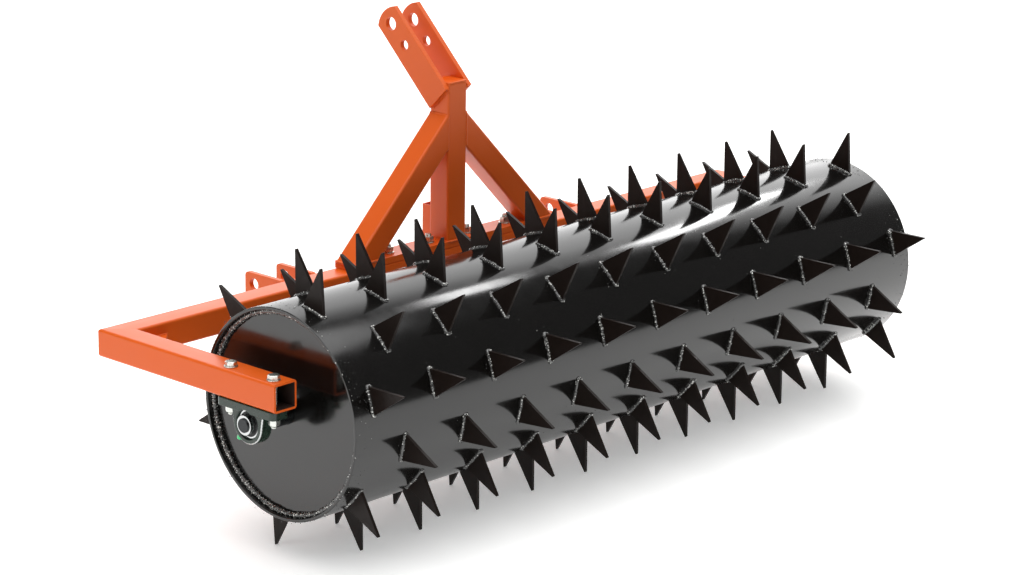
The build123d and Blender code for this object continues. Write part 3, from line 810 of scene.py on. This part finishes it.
def frame_weld_paths():
    """Paths of the frame's weld beads, found from the boxes of the parts they join."""
    corner = 5 * MM  # outer corner of the tubes, round which a bead bends
    tuck = Vector((1.5, 1.5, 0)) * MM
    paths = []
    mast_low, mast_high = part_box("mast")
    bar_low, bar_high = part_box("crossbar")
    paths.append(loop_round(mast_low, mast_high, corner, mast_low.z))
    for side, sign in SIDES.items():
        low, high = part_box(f"{side}_brace")
        depth = (high.y - low.y) * sqrt(2)
        outer = high.x if sign > 0 else low.x
        inner = outer - sign * depth
        foot_low = Vector((min(outer, inner), low.y, low.z))
        foot_high = Vector((max(outer, inner), high.y, low.z))
        paths.append(loop_round(foot_low, foot_high, corner, low.z))
        face = low.x if sign > 0 else high.x
        ring, _ = loop_round(
            Vector((high.z - depth, low.y, 0)) + tuck, Vector((high.z, high.y, 0)) - tuck, corner, 0)
        paths.append(([Vector((face, p.y, p.x)) for p in ring], True))
        strap = node_points(f"{side}_top_link_strap")
        low_point = min(strap, key=lambda p: p.z)
        rear_point = min(strap, key=lambda p: p.y)
        rear_end = low_point + (rear_point - low_point) * (
            (low_point.y - mast_low.y) / (low_point.y - rear_point.y))
        rise = mast_high.y - low_point.y
        front_end = low_point + Vector((0, rise, rise))
        paths.append(([Vector((face, p.y, p.z)) for p in (rear_end, low_point, front_end)], False))
        for ear in ("outer", "inner"):
            e_low, e_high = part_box(f"{side}_{ear}_hitch_ear")
            for x in (e_low.x, e_high.x):
                paths.append(([Vector((x, e_low.y, e_low.z + corner)),
                               Vector((x, e_low.y, e_high.z - corner))], False))
        g_low, g_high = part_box(f"{side}_corner_gusset")
        corner_x = g_high.x if sign > 0 else g_low.x
        tip_x = g_low.x if sign > 0 else g_high.x
        for z in (g_low.z, g_high.z):
            paths.append(([Vector((tip_x, g_high.y, z)), Vector((corner_x, g_high.y, z)),
                           Vector((corner_x, g_low.y, z))], False))
    s_low, s_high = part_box("stand_socket")
    for x in (s_low.x, s_high.x):
        paths.append(([Vector((x, s_low.y, s_low.z + corner)),
                       Vector((x, s_low.y, bar_high.z - corner))], False))
    return paths


class AERATOR_OT_frame_welds(bpy.types.Operator):
    """Beads where the frame's tubes and plates meet"""

    bl_idname = "aerator.frame_welds"
    bl_label = "Frame welds"

    def execute(self, context):
        steel = context.scene.aerator_steel
        beads = paths_object("frame_weld_beads", frame_weld_paths())
        grow(beads, weld_bead_tree(), {
            "Width": steel.frame_bead, "Ripple": steel.ripple, "Unevenness": 0.5, "Seed": 6.0,
            "Coating": material("orange_powder_coat")})
        hand_over(beads, "frame", "orange_powder_coat")
        return {"FINISHED"}


# ---- Fasteners and bearings ---------------------------------------------------------------------

def stacks(node):
    """Lowest and highest corners of each separate fastener in a CAD node, sorted along X."""
    built = bmesh.new()
    built.from_mesh(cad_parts[node].data)
    bmesh.ops.remove_doubles(built, verts=built.verts, dist=0.01 * MM)
    built.verts.ensure_lookup_table()
    left, found = set(built.verts), []
    while left:
        front, island = [left.pop()], []
        while front:
            vertex = front.pop()
            island.append(vertex.co.copy())
            for edge in vertex.link_edges:
                other = edge.other_vert(vertex)
                if other in left:
                    left.remove(other)
                    front.append(other)
        low = Vector(min(p[i] for p in island) for i in range(3))
        high = Vector(max(p[i] for p in island) for i in range(3))
        found.append((low, high))
    built.free()
    return sorted(found, key=lambda pair: tuple(pair[0]))


def markers(name, boxes, heights):
    """A lone point in the middle of each box, at its own height."""
    return paths_object(name, [
        ([Vector(((low.x + high.x) / 2, (low.y + high.y) / 2, height))], False)
        for (low, high), height in zip(boxes, heights)])


class AERATOR_OT_fasteners(bpy.types.Operator):
    """Zinc plated bolts, nuts and washers of the bearings and the headstock"""

    bl_idname = "aerator.fasteners"
    bl_label = "Fasteners"

    def execute(self, context):
        sizes = context.scene.aerator_fasteners
        coating = material("zinc_plate")
        bolt, nut, ring = hex_bolt_tree(), hex_nut_tree(), washer_tree()
        for name, head_up in (("bearing", True), ("headstock", False)):
            washers = stacks(f"{name}_washers")
            nuts = stacks(f"{name}_nuts")
            bolts = stacks(f"{name}_bolts")
            thick = washers[0][1].z - washers[0][0].z
            outside = washers[0][1].x - washers[0][0].x
            tip = 0.0 if head_up else pi
            nut_height = nuts[0][1].z - nuts[0][0].z
            washer_piece = markers(
                f"{name}_washer_rings", washers, [low.z for low, high in washers])
            grow(washer_piece, ring, {
                "Outside": outside, "Hole": sizes.hole, "Thickness": thick, "Tip": 0.0, "Seed": 3,
                "Coating": coating})
            hand_over(washer_piece, "frame", "zinc_plate", f"{name}_washers")
            nut_piece = markers(
                f"{name}_hex_nuts", nuts, [high.z if head_up else low.z for low, high in nuts])
            grow(nut_piece, nut, {
                "Flats": sizes.flats, "Height": nut_height, "Bore": sizes.shank + 0.1 * MM,
                "Tip": pi - tip, "Seed": 5, "Coating": coating})
            hand_over(nut_piece, "frame", "zinc_plate", f"{name}_nuts")
            level = [high.z for low, high in washers] if head_up else [low.z for low, high in washers]
            seat = max(level) if head_up else min(level)
            low, high = bolts[0]
            head = high.z - seat if head_up else seat - low.z
            shank = (high.z - low.z) - head
            bolt_piece = markers(f"{name}_hex_bolts", bolts, [seat] * len(bolts))
            grow(bolt_piece, bolt, {
                "Flats": sizes.flats, "Head": head, "Shank": sizes.shank, "Length": shank,
                "Pitch": sizes.pitch, "Threaded": nut_height + 14 * MM, "Tip": tip, "Seed": 8,
                "Coating": coating})
            hand_over(bolt_piece, "frame", "zinc_plate", f"{name}_bolts")
        return {"FINISHED"}


def paint_boss_highlight_ring(casting, node, sign):
    """Ring of bright bearing steel round the housing's outer end, on its chamfer: a painted highlight."""
    points = node_points(node)
    end = max(point.x * sign for point in points if point.z < axle.z)
    boss = max(axle.z - point.z for point in points)
    width, chamfer = 2.2 * MM, 2 * MM
    casting.data.materials.append(material("bearing_steel"))
    for face in casting.data.polygons:
        radius = hypot(face.center.y - axle.y, face.center.z - axle.z)
        depth = end - face.center.x * sign
        on_edge = boss - width < radius and 0.4 * MM < depth < chamfer
        if on_edge and face.center.z < axle.z + boss / 2:
            face.material_index = 1


def cap_nipple(side):
    """Plastic dust cap pushed over the grease nipple's head."""
    points = node_points(f"{side}_grease_nipple")
    middle = sum(points, Vector()) / len(points)
    base = Vector((middle.x, axle.y, axle.z))
    axis = (middle - base).normalized()
    tip = max((point - base).dot(axis) for point in points)
    outline = [(-6.6, 0), (-6.6, 4.3), (-6.1, 5.3), (-4.7, 5.3), (-4.3, 4.8), (1.4, 4.6), (3.1, 3.8),
               (3.9, 2.1), (4.1, 0)]
    profile = [(tip + along * MM, radius * MM) for along, radius in outline]
    cap = turned(f"{side}_nipple_cap", base, axis, profile, 24)
    hand_over(cap, "frame", "nipple_plate", coating="nipple_cap")


class AERATOR_OT_bearings(bpy.types.Operator):
    """Cast housings with soft edges, and the finishes of the bearings inside them"""

    bl_idname = "aerator.bearings"
    bl_label = "Bearings"

    def execute(self, context):
        cell = context.scene.aerator_steel.casting_cell
        for side in SIDES:
            node = f"{side}_bearing_housing"
            casting = new_object(f"{side}_housing_casting", merged_copy(node))
            cast = casting.modifiers.new("cast", "REMESH")
            cast.mode = "VOXEL"
            cast.voxel_size = cell
            cast.use_smooth_shade = True
            soft = casting.modifiers.new("soft", "SMOOTH")
            soft.factor = 0.5
            soft.iterations = 2
            settle(casting)
            hand_over(casting, "frame", "cast_housing", node)
            # Painted highlight: a ring of bright steel on the boss's chamfer.
            paint_boss_highlight_ring(casting, node, SIDES[side])
            cap_nipple(side)
            for part, slot in (
                ("outer_race", "bearing_steel"), ("inner_race", "bearing_steel"),
                ("ball_set", "bearing_steel"), ("ball_cage", "cage_steel"),
                ("bearing_seals", "seal_rubber"), ("set_screws", "black_oxide"),
                ("stub_shaft", "shaft_steel"), ("grease_nipple", "nipple_plate"),
            ):
                repaint(f"{side}_{part}", slot)
        return {"FINISHED"}


# ---- Studio -------------------------------------------------------------------------------------

def softbox(name, place, target, width, height, power):
    """Rectangular light facing a target."""
    lamp = bpy.data.lights.new(name, "AREA")
    lamp.shape = "RECTANGLE"
    lamp.size, lamp.size_y = width, height
    lamp.energy = power
    holder = bpy.data.objects.new(name, lamp)
    holder.location = place
    holder.rotation_euler = (Vector(target) - Vector(place)).to_track_quat("-Z", "Y").to_euler()
    bpy.context.scene.collection.objects.link(holder)
    return holder


def ceiling_light(name, place, turn, width, height, power):
    """Rectangular light facing straight down, turned about the vertical."""
    holder = softbox(name, place, Vector(place) - Vector((0, 0, 1)), width, height, power)
    holder.rotation_euler = (0, 0, turn)


class AERATOR_OT_studio(bpy.types.Operator):
    """Pale floor, soft lights and the camera"""

    bl_idname = "aerator.studio"
    bl_label = "Studio"

    def execute(self, context):
        scene = context.scene
        studio = scene.aerator_studio
        floor_mesh = bpy.data.meshes.new("studio_floor")
        reach = 40  # metres
        floor_mesh.from_pydata(
            [(-reach, -reach, 0), (reach, -reach, 0), (reach, reach, 0), (-reach, reach, 0)], [],
            [(0, 1, 2, 3)])
        floor = new_object("studio_floor", floor_mesh)
        # Matt white board lit a little from below, which keeps the machine's shadow pale.
        board = finish("matt_floor_board", scene.aerator_paint.floor, 0.75, mottle=0.01,
                       mottle_size=900, rough_spread=0.05, rough_size=400)
        shader = board.node_tree.nodes["Principled BSDF"]
        shader.inputs["Emission Color"].default_value = (1, 1, 1, 1)
        shader.inputs["Emission Strength"].default_value = studio.glow
        floor_mesh.materials.append(board)

        overhead = bpy.data.lights.new("overhead", "SUN")
        overhead.energy = studio.overhead
        overhead.angle = radians(76)
        sun = bpy.data.objects.new("overhead", overhead)
        sun.rotation_euler = Euler((radians(8), radians(-4), 0))
        scene.collection.objects.link(sun)
        softbox("left_softbox", (-4.5, 0.9, 2.3), (-0.6, 0.1, 0.3), 2.4, 2.0, studio.left)
        ceiling_light("strip_light", (4.4, 1.18, 3.3), radians(41.6), 2.9, 0.4, studio.strip)
        ceiling_light("left_lamp", (1.97, 0.1, 3.3), 0, 0.5, 0.5, studio.spot)

        world = bpy.data.worlds.new("studio_room")
        scene.world = world
        world.use_nodes = True
        tree = world.node_tree
        look = put(tree, "ShaderNodeTexCoord").outputs["Generated"]
        ahead = put(tree, "ShaderNodeVectorMath", {
            0: look, 1: (sin(studio.heading), cos(studio.heading), 0.0)}, operation="DOT_PRODUCT")
        wall = put(tree, "ShaderNodeMapRange", {
            "Value": ahead.outputs["Value"], "From Min": 0.5, "From Max": 0.74,
            "To Min": studio.room, "To Max": studio.backdrop}).outputs[0]
        tree.links.new(wall, tree.nodes["Background"].inputs["Strength"])
        tree.nodes["Background"].inputs["Color"].default_value = (1, 1, 1, 1)

        lens = bpy.data.cameras.new("camera")
        lens.lens = studio.lens
        lens.sensor_width = 36
        lens.clip_end = 100
        camera = bpy.data.objects.new("camera", lens)
        camera.location = studio.camera_place
        aim = Euler((pi / 2 - studio.tilt, 0, -studio.heading)).to_matrix()
        camera.rotation_euler = (aim @ Matrix.Rotation(studio.roll, 3, "Z")).to_euler()
        scene.collection.objects.link(camera)
        scene.camera = camera
        scene.view_settings.view_transform = "Standard"
        return {"FINISHED"}


# ---- Panel and registration ---------------------------------------------------------------------

STEPS = (
    AERATOR_OT_drum_shell,
    AERATOR_OT_spikes,
    AERATOR_OT_drum_welds,
    AERATOR_OT_frame_steel,
    AERATOR_OT_frame_welds,
    AERATOR_OT_fasteners,
    AERATOR_OT_bearings,
    AERATOR_OT_studio,
)
GROUPS = {
    "aerator_paint": AeratorPaint,
    "aerator_steel": AeratorSteel,
    "aerator_fasteners": AeratorFasteners,
    "aerator_studio": AeratorStudio,
}


class AERATOR_PT_panel(bpy.types.Panel):
    """Sizes and colours of the aerator, and the steps that make it"""

    bl_label = "Drum spike aerator"
    bl_idname = "AERATOR_PT_panel"
    bl_space_type = "VIEW_3D"
    bl_region_type = "UI"
    bl_category = "Aerator"

    def draw(self, context):
        for name, group in GROUPS.items():
            box = self.layout.box()
            settings = getattr(context.scene, name)
            for key in group.__annotations__:
                box.prop(settings, key)
        for step in STEPS:
            self.layout.operator(step.bl_idname)


CLASSES = (*GROUPS.values(), *STEPS, AERATOR_PT_panel)


def register():
    for each in CLASSES:
        bpy.utils.register_class(each)
    for name, group in GROUPS.items():
        setattr(bpy.types.Scene, name, PointerProperty(type=group))


def unregister():
    for name in GROUPS:
        delattr(bpy.types.Scene, name)
    for each in reversed(CLASSES):
        bpy.utils.unregister_class(each)


def plain(bounds):
    """A box as plain lists of numbers."""
    return [list(corner) for corner in bounds]


def main():
    register()
    for step in STEPS:
        group, name = step.bl_idname.split(".")
        getattr(getattr(bpy.ops, group), name)()


if __name__ == "__main__":
    main()
